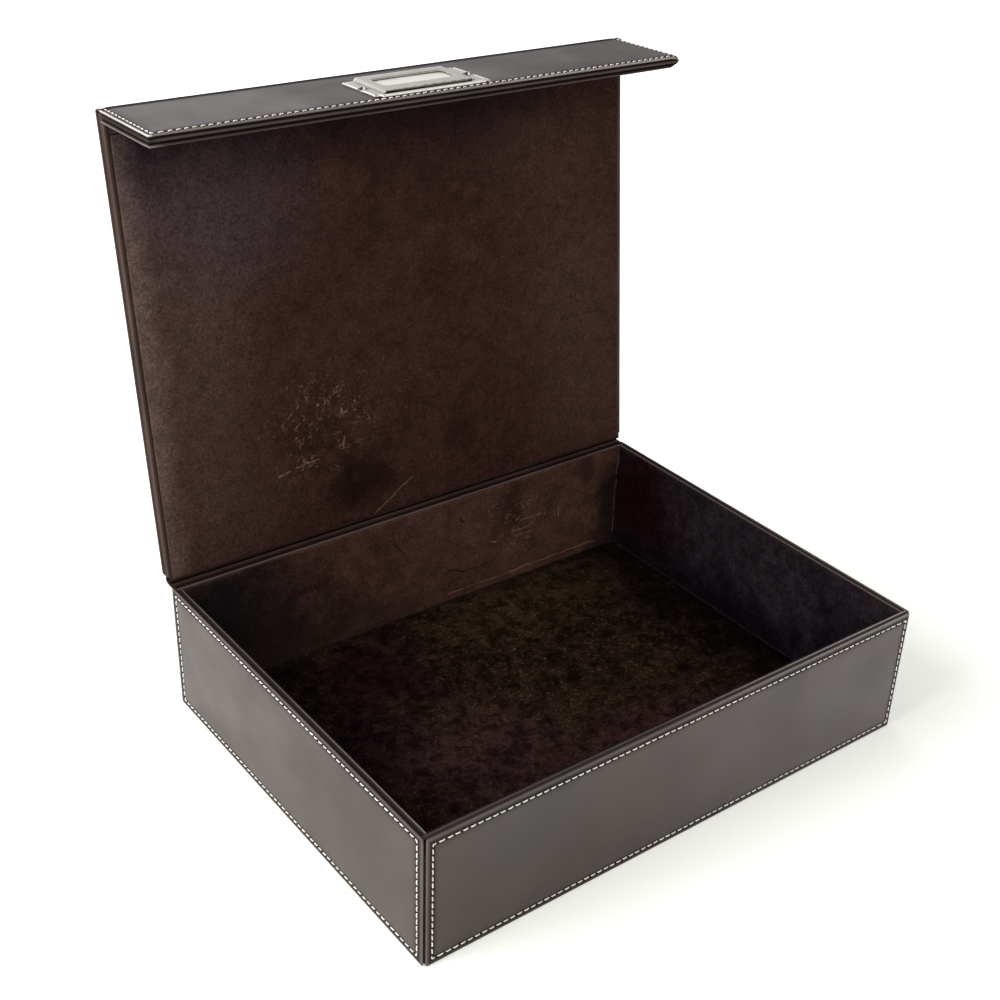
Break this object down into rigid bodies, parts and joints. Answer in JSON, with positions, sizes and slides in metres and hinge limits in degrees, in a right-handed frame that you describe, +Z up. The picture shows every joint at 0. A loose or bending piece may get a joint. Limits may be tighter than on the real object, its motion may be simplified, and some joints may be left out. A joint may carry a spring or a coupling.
{
  "type": "stationery box",
  "caption": "Leather-covered box for paper: open tray with suede lining, leather-hinged lid that leans back when open, front flap with a metal label holder and sliding card.",
  "frame": {"origin": "centre of the underside, on the surface that the box rests on", "axes": "+X right along the front, +Y to the rear, where the hinge is, +Z up; lid open"},
  "size_m": [0.3274, 0.2831, 0.3355],
  "materials": {
    "outer_leather": "smooth dark brown, soft sheen",
    "edge_leather": "smooth dark brown, rubbed edges",
    "suede": "dark brown suede, mottled and scuffed",
    "thread": "off-white waxed thread",
    "nickel": "nickel-plated stamped steel, satin",
    "card": "plain uncoated card",
    "board": "dense brown fibreboard"
  },
  "bodies": {
    "tray": {"base_board": "board", "front_board": "board", "rear_board": "board", "left_board": "board", "right_board": "board", "base_cover": "outer_leather", "front_panel": "outer_leather", "rear_panel": "outer_leather", "left_panel": "outer_leather", "right_panel": "outer_leather", "front_binding": "edge_leather", "left_binding": "edge_leather", "right_binding": "edge_leather", "front_lining": "suede", "rear_lining": "suede", "left_lining": "suede", "right_lining": "suede", "floor_lining": "suede", "front_stitching": "thread", "rear_stitching": "thread", "left_stitching": "thread", "right_stitching": "thread", "hinge_leather": "edge_leather", "spine_leather": "outer_leather"},
    "lid": {"lid_board": "board", "lid_panel": "outer_leather", "lid_lining": "suede", "lid_edging": "edge_leather", "lid_stitching": "thread"},
    "flap": {"flap_board": "board", "flap_panel": "outer_leather", "flap_lining": "edge_leather", "flap_edging": "edge_leather", "flap_stitching": "thread", "label_frame": "nickel", "label_pins": "nickel"},
    "label": {"label_card": "card"}
  },
  "joints": [
    {"name": "lid_hinge", "type": "hinge", "parent": "tray", "child": "lid", "pos_m": [0, 0.125, 0.0783], "axis": [1, 0, 0], "range_deg": [0, 96], "deforming": ["hinge_leather", "spine_leather"]},
    {"name": "flap_fold", "type": "hinge", "parent": "lid", "child": "flap", "pos_m": [0, 0.15779, 0.33287], "axis": [-1, 0, 0], "range_deg": [0, 5]},
    {"name": "card_slide", "type": "slide", "parent": "flap", "child": "label", "axis": [0, 0.9998, -0.0175], "range_m": [0, 0.026]}
  ],
  "couplings": [
    {"joint": "flap_fold", "follows": "lid_hinge", "ratio": 0.052}
  ]
}
